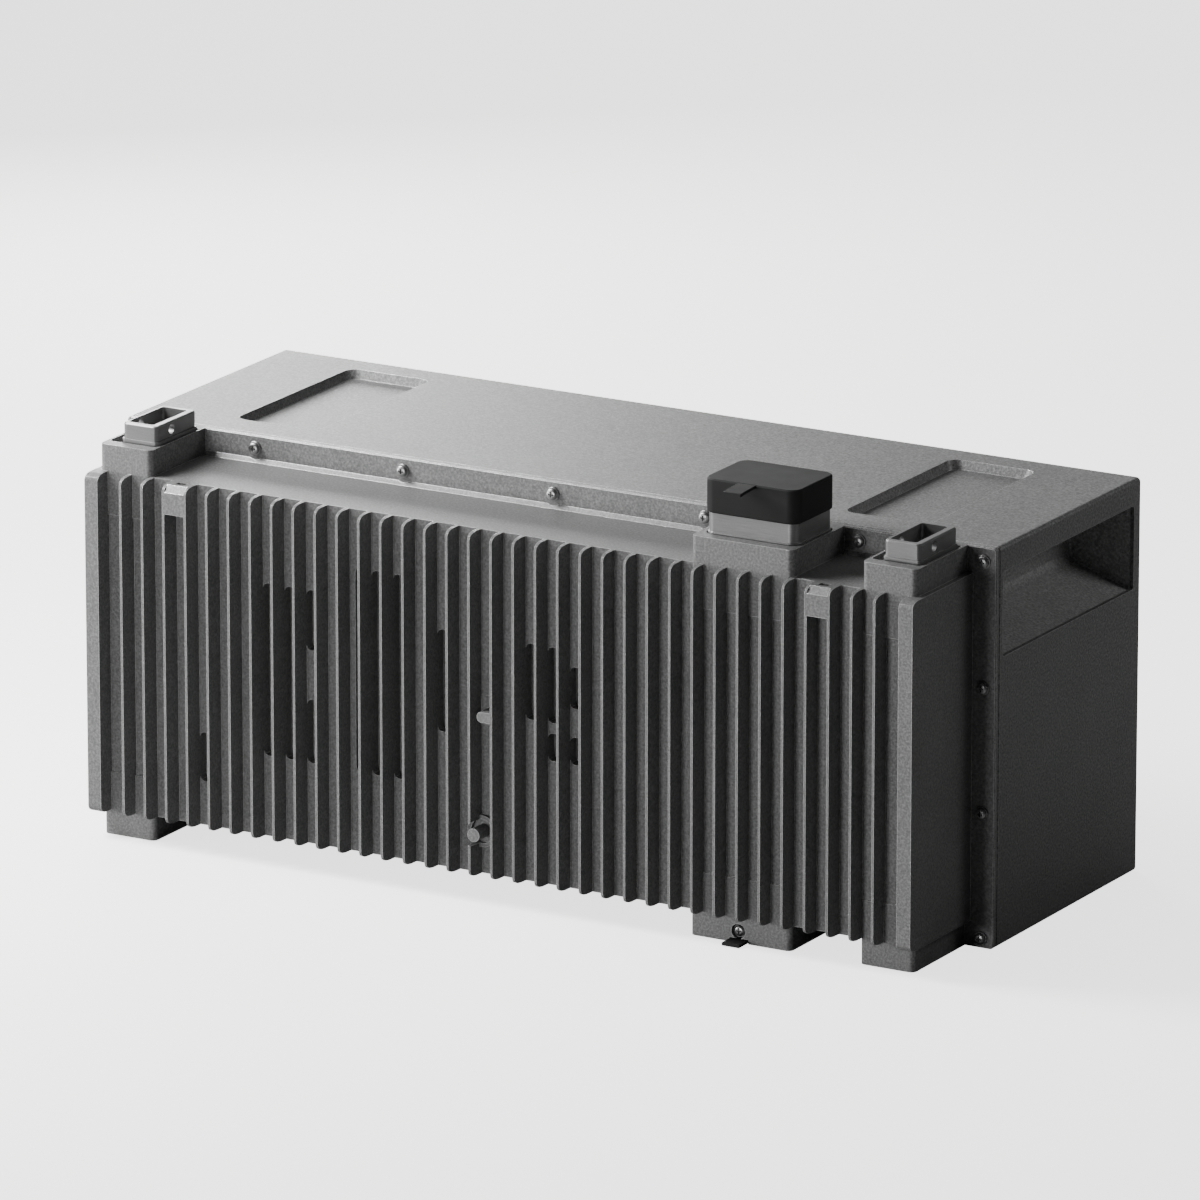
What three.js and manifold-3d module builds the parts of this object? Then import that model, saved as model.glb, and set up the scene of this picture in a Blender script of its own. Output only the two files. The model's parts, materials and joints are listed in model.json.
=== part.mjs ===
// Stackable battery module: a finned cast housing bolted to a deep box cover, with a blind-mate
// connector and two locating posts on top, matching sockets underneath, and sixteen cells inside.
// Millimetres, +Z up. The origin is at the middle of the underside, and the fins face -Y.
import * as THREE from "three";
import { mergeVertices } from "three/addons/utils/BufferGeometryUtils.js";
import Module from "manifold-3d";

const wasm = await Module();
wasm.setup();

// ---------------------------------------------------------------- driving dimensions

const WIDTH = 650;
const DEPTH = 278.8;
const HEIGHT = 266.5;
const GAP = 0.3;

const FIN_TIP_Y = -DEPTH / 2;
const FIN_DEPTH = 14;
const BASE_Y = FIN_TIP_Y + FIN_DEPTH;
const FLANGE_Y = FIN_TIP_Y + 80.5;
const FLANGE_THICKNESS = 4;
const FLANGE_BACK_Y = FLANGE_Y + FLANGE_THICKNESS;
const BACK_Y = DEPTH / 2;

const BLOCK_HALF_WIDTH = 308;
const SHELF_Z = 248.5;
const UNDERSIDE_Z = 17;
const CASTING_WALL = 4;

const FIN_COUNT = 35;
const FIN_PITCH = 16.5;
const FIN_TIP_WIDTH = 1.6;
const FIN_ROOT_WIDTH = 3;
const END_FIN_WIDTH = 10;
const FIN_NOSE_DROP = 4.2;
const FIN_NOSE_LENGTH = 7.5;

const BOSS_PROUD = 1.2;
const BOSS_FRONT_Y = BASE_Y - BOSS_PROUD;
const BOSS_TOP_HEIGHT = 47.5;
const BOSS_FOOT_HEIGHT = 43.2;
const BOSS_CORNER = 4;
const END_BOSS_INNER_X = 264.5;
const END_BOSS_OUTER_X = 304;
const STACK_Y = FLANGE_Y - 34;

const POST_X = 283.6;
const POST_Y = STACK_Y + 2.7;
const POST_SIZE = [26, 50];
const POST_HOLE = [19, 42.5];
const POST_HOLE_SHIFT_X = -1.2;
const POST_SHIFT_X = 3.4;
const POST_TOP_Z = 279.5;
const POST_FLANGE = [27.6, 51.6];
const POST_CROSS_HOLE_RADIUS = 3.5;
const POST_POCKET_X = 284.1;
const POST_POCKET_DEPTH = 3.6;
const POST_POCKET_SIZE = [36.4, 54.8];
const FOOT_SOCKET_SIZE = [28, 52];
const FOOT_SOCKET_DEPTH = 15;
const FOOT_MOUTH_SIZE = [29.4, 53.4];
const FOOT_MOUTH_DEPTH = 2.8;

const CONNECTOR_X = 178.6;
const CONNECTOR_Y = STACK_Y + 0.8;
const CONNECTOR_BOSS_X = [140.5, 214.5];
const COLLAR_SIZE = [65.4, 49.4];
const COLLAR_WALL = 2.8;
const COLLAR_TOP_Z = 287;
const COLLAR_FOOT_LEDGE = 0.9;
const COLLAR_SEAT_LEDGE = 1.9;
const COLLAR_SEAT_DEPTH = 3;
const CAP_SIZE = [68.6, 52.6];
const CAP_BOTTOM_Z = 280.3;
const CAP_TOP_Z = 303;
const CAP_ROOF = 2.6;
const TAB_X = 176.4;
const TAB_WIDTH = 12.8;
const TAB_DROOP = 1;
const TAB_TIP_Y = FIN_TIP_Y + 1.6;
const LOWER_CAP_BOTTOM_Z = 0.3;
const LOWER_CAP_RIM = [65.8, 49.8];
const WELL_SIZE = [66.6, 50.6];
const WELL_TOP_Z = 21;
const WELL_ROOF_Z = 24.5;
const LOCK_SCREW = [176, 7.6];
const LOCK_HEAD_RADIUS = 3.5;
const LOCK_BORE_RADIUS = 5.1;
const INSERT_SIZE = [COLLAR_SIZE[0] - 2 * COLLAR_WALL - 0.8, COLLAR_SIZE[1] - 2 * COLLAR_WALL - 0.8];
const INSERT_TOP_Z = HEIGHT + 4;
const POWER_CONTACT_X = [-14, 14];
const SIGNAL_CONTACT_X = [-8, 8];
const SIGNAL_CONTACT_Y = [-11, 11];

const COVER_WALL = 3;
const COVER_CORNER = 3;
const COVER_FRONT_Y = FLANGE_BACK_Y + 0.5;
const RIM_THICKNESS = 3;
const RIM_BACK_Y = COVER_FRONT_Y + RIM_THICKNESS;
const OPENING_HALF_WIDTH = 306;
const OPENING_Z = [20, 247.5];

const BOLT_INSET_X = 9;
const BOLT_INSET_Z = 8.5;
const ROW_BOLT_PITCH = 113;
const SIDE_BOLT_PITCH = 83.4;
const SIDE_BOLT_LOWEST_Z = 6.8;
const BOLT_HEAD_RADIUS = 4.6;
const BOLT_HEAD_HEIGHT = 3.4;
const BOLT_SHANK_RADIUS = 2.4;
const BOLT_HOLE_RADIUS = 2.9;
const BOLT_SIDES = 10;

const RECESS_X = [197, 260];
const RECESS_Y = [FLANGE_Y + 30, FLANGE_Y + 177.5];
const RECESS_DEPTH = 6;
const RECESS_CORNER = 8;

const GRIP_Y = [FLANGE_Y + 8.6, FLANGE_Y + 189];
const GRIP_Z = [193.3, 249.5];
const CUP_WALL = 1.8;
const CUP_BACK_X = 278;

const PIN_RADIUS = 4.5;
const PIN_MOAT_RADIUS = 8.2;
const PIN_RING_RADIUS = 10.8;
const PIN_RING_HEIGHT = 3;
const FIN_POCKET_DEPTH = 7.6;
const FIN_POCKET_CORNER = 3;
const SHELF_FILLET = 2.6;
const DRAIN_NOTCH_RADIUS = 4;
const DRAIN_NOTCH_DEPTH = 1.8;
const DRAIN_NOTCH_FINS = [4, 11, 18, 25];
const BOARD_Y = BASE_Y + 15;

const CELL_COUNT = 16;
const CELL_PITCH = 36;
const CELL_SIZE = [35.4, 130, 188];
const CELL_BOTTOM_Z = 6.2;
const CELL_Y = 43;
const TERMINAL_Y = 46;

const CURVE_STEPS = 3;
const HIDDEN_STEPS = 1;

// ---------------------------------------------------------------- geometry helpers

const AXIS_X = new THREE.Vector3(1, 0, 0);
const AXIS_Y = new THREE.Vector3(0, 1, 0);
const AXIS_Z = new THREE.Vector3(0, 0, 1);

// Each basis lays a flat outline down across the named axis: for x the outline is (Y, Z), for y it
// is (X, Z), and for z it is (X, Y).
const BASIS = {
  x: new THREE.Matrix4().makeBasis(AXIS_Y, AXIS_Z, AXIS_X),
  y: new THREE.Matrix4().makeBasis(AXIS_X, AXIS_Z, AXIS_Y.clone().negate()),
  z: new THREE.Matrix4().makeBasis(AXIS_X, AXIS_Y, AXIS_Z),
};

function solidFrom(geometry) {
  const bare = geometry.clone();
  bare.deleteAttribute("normal");
  bare.deleteAttribute("uv");
  const merged = mergeVertices(bare, 1e-4);
  const mesh = new wasm.Mesh({
    numProp: 3,
    vertProperties: merged.attributes.position.array,
    triVerts: new Uint32Array(merged.index.array),
  });
  return new wasm.Manifold(mesh);
}

function geometryFrom(solid) {
  const mesh = solid.getMesh();
  const geometry = new THREE.BufferGeometry();
  geometry.setAttribute("position", new THREE.BufferAttribute(mesh.vertProperties, 3));
  geometry.setIndex(new THREE.BufferAttribute(mesh.triVerts, 1));
  const flat = geometry.toNonIndexed();
  flat.computeVertexNormals();
  return flat;
}

function joined(solids) {
  return solids.reduce((whole, piece) => whole.add(piece));
}

function cut(solid, tools) {
  return tools.reduce((rest, tool) => rest.subtract(tool), solid);
}

function box([x0, x1], [y0, y1], [z0, z1]) {
  const geometry = new THREE.BoxGeometry(x1 - x0, y1 - y0, z1 - z0);
  geometry.translate((x0 + x1) / 2, (y0 + y1) / 2, (z0 + z1) / 2);
  return solidFrom(geometry);
}

function rectangle([u0, u1], [v0, v1], radius) {
  const shape = new THREE.Shape();
  shape.moveTo(u0 + radius, v0);
  shape.lineTo(u1 - radius, v0);
  shape.absarc(u1 - radius, v0 + radius, radius, -Math.PI / 2, 0);
  shape.lineTo(u1, v1 - radius);
  shape.absarc(u1 - radius, v1 - radius, radius, 0, Math.PI / 2);
  shape.lineTo(u0 + radius, v1);
  shape.absarc(u0 + radius, v1 - radius, radius, Math.PI / 2, Math.PI);
  shape.lineTo(u0, v0 + radius);
  shape.absarc(u0 + radius, v0 + radius, radius, Math.PI, Math.PI * 1.5);
  return shape;
}

function outline(points) {
  return new THREE.Shape(points.map(([u, v]) => new THREE.Vector2(u, v)));
}

function extruded(shape, axis, from, to, bevel = 0, curveSegments = CURVE_STEPS) {
  const geometry = new THREE.ExtrudeGeometry(shape, {
    depth: to - from - 2 * bevel,
    curveSegments,
    bevelEnabled: bevel > 0,
    bevelSize: bevel,
    bevelThickness: bevel,
    bevelOffset: -bevel,
    bevelSegments: 1,
  });
  const start = axis === "y" ? -to + bevel : from + bevel;
  geometry.translate(0, 0, start);
  geometry.applyMatrix4(BASIS[axis]);
  return solidFrom(geometry);
}

function centred(middle, size) {
  return [middle - size / 2, middle + size / 2];
}

function pillar([x, y], [width, depth], [z0, z1], radius, bevel = 0, steps = CURVE_STEPS) {
  const shape = rectangle(centred(x, width), centred(y, depth), radius);
  return extruded(shape, "z", z0, z1, bevel, steps);
}

function cylinder(axis, [u, v], radius, from, to, sides = 20) {
  const geometry = new THREE.CylinderGeometry(radius, radius, to - from, sides);
  geometry.rotateX(Math.PI / 2);
  const middle = (from + to) / 2;
  geometry.translate(u, v, axis === "y" ? -middle : middle);
  geometry.applyMatrix4(BASIS[axis]);
  return solidFrom(geometry);
}

function mirroredX([low, high]) {
  return [-high, -low];
}

// ---------------------------------------------------------------- finned housing

function finX(index) {
  return (index - (FIN_COUNT - 1) / 2) * FIN_PITCH;
}

function finBlade(x) {
  const root = FIN_ROOT_WIDTH / 2;
  const tip = FIN_TIP_WIDTH / 2;
  const section = outline([
    [x - root, BASE_Y + 1],
    [x - root, BASE_Y],
    [x - tip, FIN_TIP_Y],
    [x + tip, FIN_TIP_Y],
    [x + root, BASE_Y],
    [x + root, BASE_Y + 1],
  ]);
  return extruded(section, "z", UNDERSIDE_Z, SHELF_Z);
}

// The side view that every fin is trimmed to: a square back, and a nose that is rounded off at
// the top and the bottom.
function finEnvelope() {
  const points = [
    [BASE_Y + 1, UNDERSIDE_Z],
    [BASE_Y + 1, SHELF_Z],
  ];
  const nose = [];
  for (let step = 0; step <= CURVE_STEPS; step += 1) {
    const angle = (step / CURVE_STEPS) * (Math.PI / 2);
    const y = FIN_TIP_Y + FIN_NOSE_LENGTH * (1 - Math.sin(angle));
    nose.push([y, FIN_NOSE_DROP * (1 - Math.cos(angle))]);
  }
  nose.forEach(([y, drop]) => points.push([y, SHELF_Z - drop]));
  nose.reverse().forEach(([y, drop]) => points.push([y, UNDERSIDE_Z + drop]));
  const reach = BLOCK_HALF_WIDTH + 1;
  return extruded(outline(points.reverse()), "x", -reach, reach);
}

function endFin(side) {
  const outer = side * BLOCK_HALF_WIDTH;
  const inner = outer - side * END_FIN_WIDTH;
  const span = [Math.min(outer, inner), Math.max(outer, inner)];
  return box(span, [FIN_TIP_Y, BASE_Y + 1], [UNDERSIDE_Z, SHELF_Z]);
}

function finBank() {
  const fins = [endFin(-1), endFin(1)];
  for (let index = 0; index < FIN_COUNT; index += 1) {
    fins.push(finBlade(finX(index)));
  }
  return joined(fins).intersect(finEnvelope());
}

function boss(xSpan, zSpan) {
  const footprint = rectangle(xSpan, [BOSS_FRONT_Y, FLANGE_Y + 10], BOSS_CORNER);
  const post = extruded(footprint, "z", zSpan[0], zSpan[1]);
  return post.intersect(box([-WIDTH, WIDTH], [BOSS_FRONT_Y, FLANGE_Y + 1], zSpan));
}

function bossSpans() {
  const right = [END_BOSS_INNER_X, END_BOSS_OUTER_X];
  return [mirroredX(right), CONNECTOR_BOSS_X, right];
}

function bosses() {
  return joined(
    bossSpans().flatMap((span) => [
      boss(span, [HEIGHT - BOSS_TOP_HEIGHT, HEIGHT]),
      boss(span, [0, BOSS_FOOT_HEIGHT]),
    ]),
  );
}

// A bridge between two neighbouring fins near the top, with a slot that a hook drops into.
function hanger(leftFin) {
  const span = [finX(leftFin) + FIN_TIP_WIDTH / 2 - 0.2, finX(leftFin + 1) - FIN_TIP_WIDTH / 2 + 0.2];
  const chamfer = 4.5;
  const profile = outline([
    [FIN_TIP_Y, 229.3],
    [BASE_Y + 1, 229.3],
    [BASE_Y + 1, SHELF_Z],
    [FIN_TIP_Y + chamfer, SHELF_Z],
    [FIN_TIP_Y, SHELF_Z - chamfer],
  ]);
  const block = extruded(profile, "x", span[0], span[1]);
  const middle = (span[0] + span[1]) / 2;
  const slot = box(centred(middle, 7), [BASE_Y - 6.5, BASE_Y - 2], [225, SHELF_Z + 1]);
  return block.subtract(slot);
}

// Shallow pads and pillars standing between the fins: a stop bar, the pad behind it, and a round
// pillar inside a low ring.
function frontDetails() {
  const pad = box([-14.8, -0.2], [BASE_Y - BOSS_PROUD, BASE_Y + 1], [118, 138]);
  const bar = extruded(rectangle([-10.6, 1], [123.2, 130.2], 3.2), "y", FIN_TIP_Y, BASE_Y + 1);
  const pinAt = [-13.4, 46.2];
  const ring = cylinder("y", pinAt, PIN_RING_RADIUS, BASE_Y - PIN_RING_HEIGHT, BASE_Y + 1, 28);
  const moat = cylinder("y", pinAt, PIN_MOAT_RADIUS, FIN_TIP_Y - 1, BASE_Y + 0.5, 24);
  const pillarPin = cylinder("y", pinAt, PIN_RADIUS, FIN_TIP_Y, BASE_Y + 1, 20);
  return { raised: joined([pad, bar]), ring, moat, pillarPin };
}

// Pockets in the base, each one filling the space between two fins or part of it. Inside, they
// stand out as pedestals that the power board is pressed against.
const POCKETS = [
  { gap: 6, z: [72, 189] },
  { gap: 7, z: [72, 189] },
  { gap: 8, z: [148.4, 189] },
  { gap: 8, z: [72, 114.8] },
  { gap: 10, z: [71.2, 209], fromX: -109.8 },
  { gap: 11, z: [71.2, 209] },
  { gap: 12, z: [71.2, 209] },
  { gap: 14, z: [108, 176.8] },
  { gap: 17, z: [126, 176.8], fromX: 7.6 },
  { gap: 18, z: [126, 176.8] },
  { gap: 19, z: [126, 176.8] },
  { gap: 19, z: [100.4, 119] },
  { gap: 20, z: [138, 165.7] },
  { gap: 20, z: [100.4, 118.8] },
  { gap: 3, z: [47, 80.3] },
];
const PEDESTALS = [
  { x: [-184, -130], z: [69, 192] },
  { x: [-113, -64], z: [68, 212] },
  { x: [-52, -30], z: [105, 180] },
  { x: [5, 68], z: [97, 180] },
  { x: [-233, -213], z: [44, 83] },
];

function pocketCut({ gap, z, fromX }) {
  const left = fromX ?? finX(gap) + FIN_ROOT_WIDTH / 2;
  const right = finX(gap + 1) - FIN_ROOT_WIDTH / 2;
  const shape = rectangle([left, right], z, FIN_POCKET_CORNER);
  return extruded(shape, "y", BASE_Y - 2, BASE_Y + FIN_POCKET_DEPTH, 0, HIDDEN_STEPS);
}

function pedestal({ x, z }) {
  return box(x, [BASE_Y + 1, BASE_Y + FIN_POCKET_DEPTH + CASTING_WALL], z);
}

// The sloping strip that joins the shelf to the flange.
function filletStrip(xSpan) {
  const profile = outline([
    [FLANGE_Y - SHELF_FILLET, SHELF_Z - 0.5],
    [FLANGE_Y + 0.5, SHELF_Z - 0.5],
    [FLANGE_Y + 0.5, SHELF_Z + SHELF_FILLET],
    [FLANGE_Y, SHELF_Z + SHELF_FILLET],
    [FLANGE_Y - SHELF_FILLET, SHELF_Z],
  ]);
  return extruded(profile, "x", xSpan[0], xSpan[1]);
}

function boardStandoffs() {
  const rows = [
    { columns: [-205, 80], heights: [36, 222] },
    { columns: [112, 285], heights: [60, 205] },
  ];
  const corners = rows.flatMap(({ columns, heights }) =>
    columns.flatMap((x) => heights.map((z) => [x, z])),
  );
  return corners.map((corner) => cylinder("y", corner, 4, BASE_Y + 1, BOARD_Y - GAP, 6));
}

// Small arches in the lower edge, on the left of every seventh fin.
function drainNotches() {
  const height = UNDERSIDE_Z + DRAIN_NOTCH_DEPTH - DRAIN_NOTCH_RADIUS;
  return DRAIN_NOTCH_FINS.map((fin) =>
    cylinder("y", [finX(fin) - 2, height], DRAIN_NOTCH_RADIUS, FIN_TIP_Y - 1, BASE_Y + 2.5, 16),
  );
}

// A size that is wider than the given one by the same ledge on every side.
function ledged([width, depth], ledge) {
  return [width + 2 * ledge, depth + 2 * ledge];
}

function connectorOpenings() {
  const middle = [CONNECTOR_X, CONNECTOR_Y];
  const seatSize = ledged(COLLAR_SIZE, COLLAR_SEAT_LEDGE);
  const seat = pillar(middle, seatSize, [HEIGHT - COLLAR_SEAT_DEPTH, HEIGHT + 1], 8);
  const shaft = pillar(middle, ledged(COLLAR_SIZE, 0.5), [SHELF_Z - 12, HEIGHT], 5);
  const well = pillar(middle, WELL_SIZE, [-1, WELL_TOP_Z], 7);
  const throat = pillar(middle, [50, 36], [10, WELL_ROOF_Z + 4], 4);
  const notch = box(centred(TAB_X, TAB_WIDTH + 1.2), [BOSS_FRONT_Y - 1, STACK_Y], [-1, 2.9]);
  return [seat, shaft, well, throat, notch];
}

// The pad inside the casting that closes the well, with the lower socket's plate on top of it.
function wellPad() {
  const pad = ledged(WELL_SIZE, 2);
  return box(centred(CONNECTOR_X, pad[0]), centred(CONNECTOR_Y, pad[1]), [UNDERSIDE_Z + 1, WELL_ROOF_Z]);
}

function lockScrewHole() {
  const face = BOSS_FRONT_Y;
  const counterbore = cylinder("y", LOCK_SCREW, LOCK_BORE_RADIUS, face - 1, face + 3.2, 24);
  const bore = cylinder("y", LOCK_SCREW, 2.6, face, STACK_Y - 10, 16);
  return [counterbore, bore];
}

function stackSockets() {
  return [-1, 1].flatMap((side) => {
    const pocketMiddle = [side * POST_POCKET_X, POST_Y];
    const pocketSpan = [HEIGHT - POST_POCKET_DEPTH, HEIGHT + 1];
    const pocket = pillar(pocketMiddle, POST_POCKET_SIZE, pocketSpan, 3, 0, 2);
    const postMiddle = [side * POST_X + POST_SHIFT_X, POST_Y];
    const socket = pillar(postMiddle, FOOT_SOCKET_SIZE, [-1, FOOT_SOCKET_DEPTH], 3, 0, 2);
    const mouth = pillar(postMiddle, FOOT_MOUTH_SIZE, [-1, FOOT_MOUTH_DEPTH], 3, 0, 1);
    return [pocket, socket, mouth];
  });
}

function boltPlaces() {
  const places = [];
  for (let index = 0; index < 5; index += 1) {
    const x = (index - 2) * ROW_BOLT_PITCH;
    places.push({ name: `flange_bolt_top_${index + 1}`, x, z: HEIGHT - BOLT_INSET_Z });
    places.push({ name: `flange_bolt_bottom_${index + 1}`, x, z: BOLT_INSET_Z });
  }
  for (let index = 0; index < 4; index += 1) {
    const z = SIDE_BOLT_LOWEST_Z + index * SIDE_BOLT_PITCH;
    const x = WIDTH / 2 - BOLT_INSET_X;
    places.push({ name: `flange_bolt_left_${index + 1}`, x: -x, z });
    places.push({ name: `flange_bolt_right_${index + 1}`, x, z });
  }
  return places;
}

function boltHoles() {
  return boltPlaces().map(({ x, z }) =>
    cylinder("y", [x, z], BOLT_HOLE_RADIUS, FLANGE_Y - 2, RIM_BACK_Y + 1, 6),
  );
}

// The small bulge in the shelf below each top bolt and above each bottom one.
function boltScallops() {
  return boltPlaces()
    .filter(({ x }) => Math.abs(x) < BLOCK_HALF_WIDTH)
    .map(({ x, z }) => cylinder("y", [x, z], BOLT_HEAD_RADIUS + 3.4, FLANGE_Y - 6, FLANGE_Y, 16));
}

function housing() {
  const half = BLOCK_HALF_WIDTH;
  const block = box([-half, half], [BASE_Y, FLANGE_Y + 1], [UNDERSIDE_Z, SHELF_Z]);
  const plate = rectangle([-WIDTH / 2, WIDTH / 2], [0, HEIGHT], COVER_CORNER);
  const flange = extruded(plate, "y", FLANGE_Y, FLANGE_BACK_Y, 0.8);
  const inside = box(
    [-half + CASTING_WALL, half - CASTING_WALL],
    [BASE_Y + CASTING_WALL, FLANGE_BACK_Y + 1],
    [UNDERSIDE_Z + CASTING_WALL, SHELF_Z - CASTING_WALL],
  );
  const hollowed = joined([block, flange, bosses()]).subtract(inside);
  const pedestals = PEDESTALS.map(pedestal);
  const strips = [
    filletStrip([-END_BOSS_INNER_X - 1, CONNECTOR_BOSS_X[0] + 1]),
    filletStrip([CONNECTOR_BOSS_X[1] - 1, END_BOSS_INNER_X + 1]),
  ];
  const inner = [wellPad(), ...pedestals, ...strips];
  const walls = joined([hollowed, ...inner, finBank(), hanger(2), hanger(31)]);
  const finned = cut(walls, POCKETS.map(pocketCut));
  const details = frontDetails();
  const detailed = joined([finned, details.raised, details.ring])
    .subtract(details.moat)
    .add(details.pillarPin);
  const tools = [
    ...connectorOpenings(),
    ...lockScrewHole(),
    ...stackSockets(),
    ...boltScallops(),
    ...boltHoles(),
    ...drainNotches(),
  ];
  return cut(detailed, tools).add(joined(boardStandoffs()));
}

// ---------------------------------------------------------------- rear cover and gasket

function cover() {
  const half = WIDTH / 2;
  const outer = rectangle([-half, half], [0, HEIGHT], COVER_CORNER);
  const shell = extruded(outer, "y", COVER_FRONT_Y, BACK_Y, 1.2);
  const inside = box(
    [-half + COVER_WALL, half - COVER_WALL],
    [RIM_BACK_Y, BACK_Y - COVER_WALL],
    [COVER_WALL, HEIGHT - COVER_WALL],
  );
  const openingX = [-OPENING_HALF_WIDTH, OPENING_HALF_WIDTH];
  const opening = box(openingX, [COVER_FRONT_Y - 1, RIM_BACK_Y + 1], OPENING_Z);
  const pans = [];
  const recesses = [];
  [RECESS_X, mirroredX(RECESS_X)].forEach((span) => {
    const wide = [span[0] - COVER_WALL, span[1] + COVER_WALL];
    const long = [RECESS_Y[0] - COVER_WALL, RECESS_Y[1] + COVER_WALL];
    pans.push(box(wide, long, [HEIGHT - RECESS_DEPTH - COVER_WALL, HEIGHT - 1]));
    recesses.push(
      extruded(rectangle(span, RECESS_Y, RECESS_CORNER), "z", HEIGHT - RECESS_DEPTH, HEIGHT + 1),
    );
  });
  const grips = [-1, 1].map((side) => {
    const span = side > 0 ? [half - 10, half + 1] : [-half - 1, -half + 10];
    return extruded(rectangle(GRIP_Y, GRIP_Z, 2.5), "x", span[0], span[1]);
  });
  const hollow = shell.subtract(inside).subtract(opening);
  return cut(joined([hollow, ...pans]), [...recesses, ...grips, gasketGroove(), ...boltHoles()]);
}

function ring(outerX, innerX, outerZ, innerZ, ySpan) {
  const outside = extruded(rectangle([-outerX, outerX], outerZ, 6), "y", ySpan[0], ySpan[1]);
  const inside = extruded(rectangle([-innerX, innerX], innerZ, 3), "y", ySpan[0] - 1, ySpan[1] + 1);
  return outside.subtract(inside);
}

function gasketGroove() {
  return ring(312.2, 308.2, [13.8, 253.2], [17.8, 249.2], [COVER_FRONT_Y - 1, COVER_FRONT_Y + 1.8]);
}

function gasket() {
  return ring(311.9, 308.5, [14.1, 252.9], [17.5, 249.5], [COVER_FRONT_Y - 0.25, COVER_FRONT_Y + 1.5]);
}

// ---------------------------------------------------------------- hand-grip cups

// A folded pocket behind each grip opening. Its floor rises inward, and its roof is higher than
// the opening, so that fingers hook up behind the cover's wall.
function gripCup(side) {
  const mouth = WIDTH / 2 - COVER_WALL - GAP;
  const floor = GRIP_Z[0] - 1.2;
  const roof = HEIGHT - COVER_WALL - GAP;
  const rise = 14.6;
  const outer = outline([
    [mouth, floor - CUP_WALL],
    [mouth, roof],
    [CUP_BACK_X - CUP_WALL, roof],
    [CUP_BACK_X - CUP_WALL, floor + rise - CUP_WALL],
  ]);
  const inner = outline([
    [mouth + 1, floor],
    [mouth + 1, roof - CUP_WALL],
    [CUP_BACK_X + 6, roof - CUP_WALL],
    [CUP_BACK_X, roof - CUP_WALL - 6],
    [CUP_BACK_X, floor + rise + 5],
    [CUP_BACK_X + 5, floor + rise - 1],
  ]);
  const yOuter = [RIM_BACK_Y + GAP, GRIP_Y[1] + 0.4 + CUP_WALL];
  const yInner = [RIM_BACK_Y + GAP + CUP_WALL, GRIP_Y[1] + 0.4];
  const shell = extruded(outer, "y", yOuter[0], yOuter[1]);
  const cavity = extruded(inner, "y", yInner[0], yInner[1]);
  const flange = box([mouth - CUP_WALL, mouth], yOuter, [floor - 12, floor]);
  const cup = joined([shell, flange]).subtract(cavity);
  return side > 0 ? cup : cup.mirror([1, 0, 0]);
}

// ---------------------------------------------------------------- stacking posts

function stackingPost(side) {
  const middle = [side * POST_X + POST_SHIFT_X, POST_Y];
  const boreMiddle = [middle[0] + POST_HOLE_SHIFT_X, POST_Y];
  const flange = pillar(middle, POST_FLANGE, [HEIGHT - POST_POCKET_DEPTH + GAP, HEIGHT + 2.4], 3);
  const tube = pillar(middle, POST_SIZE, [HEIGHT - 1, POST_TOP_Z], 3.2, 0.9);
  const bore = pillar(boreMiddle, POST_HOLE, [HEIGHT + 0.5, POST_TOP_Z + 1], 2, 0, 2);
  const crossAt = [POST_Y - 6, HEIGHT + 7.6];
  const reach = [middle[0] - 20, middle[0] + 20];
  const crossHole = cylinder("x", crossAt, POST_CROSS_HOLE_RADIUS, reach[0], reach[1], 16);
  return flange.add(tube).subtract(bore).subtract(crossHole);
}

// ---------------------------------------------------------------- connectors

function topCollar() {
  const middle = [CONNECTOR_X, CONNECTOR_Y];
  const inner = ledged(COLLAR_SIZE, -COLLAR_WALL);
  const foot = ledged(COLLAR_SIZE, COLLAR_FOOT_LEDGE);
  const wall = pillar(middle, COLLAR_SIZE, [SHELF_Z - 3, COLLAR_TOP_Z], 6, 0.8);
  const flange = pillar(middle, foot, [HEIGHT - COLLAR_SEAT_DEPTH + GAP, HEIGHT + 1], 7);
  const bore = pillar(middle, inner, [SHELF_Z - 9, COLLAR_TOP_Z + 1], 4, 0, 2);
  return wall.add(flange).subtract(bore);
}

function contactHoles(bottom, top, grow) {
  const power = POWER_CONTACT_X.map((x) =>
    cylinder("z", [CONNECTOR_X + x, CONNECTOR_Y], 3.6 + grow, bottom, top, 12),
  );
  const signal = SIGNAL_CONTACT_Y.flatMap((y) =>
    SIGNAL_CONTACT_X.map((x) => cylinder("z", [CONNECTOR_X + x, CONNECTOR_Y + y], 1 + grow, bottom, top, 6)),
  );
  return [...power, ...signal];
}

function topInsert() {
  const body = pillar([CONNECTOR_X, CONNECTOR_Y], INSERT_SIZE, [SHELF_Z - 2, INSERT_TOP_Z], 3.6, 0, 2);
  const under = box(centred(CONNECTOR_X, 42), centred(CONNECTOR_Y, 30), [SHELF_Z - 3, HEIGHT - 6]);
  return cut(body, [under, ...contactHoles(HEIGHT - 8, INSERT_TOP_Z + 1, GAP)]);
}

// All the contacts stand on one carrier, which is held inside the insert.
function topContacts() {
  const carrier = box(centred(CONNECTOR_X, 40), centred(CONNECTOR_Y, 28), [HEIGHT - 10, HEIGHT - 6.4]);
  return joined([carrier, ...contactHoles(HEIGHT - 7, INSERT_TOP_Z + 9, 0)]);
}

function bottomSocket() {
  const middle = [CONNECTOR_X, CONNECTOR_Y];
  const body = pillar(middle, [49, 35], [4.2, WELL_ROOF_Z + 6], 3.6, 0.5);
  const seat = [WELL_ROOF_Z + GAP, WELL_ROOF_Z + 3];
  const plate = box(centred(CONNECTOR_X, 62), centred(CONNECTOR_Y, 46), seat);
  return cut(body.add(plate), contactHoles(3, 16, 0.5));
}

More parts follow.
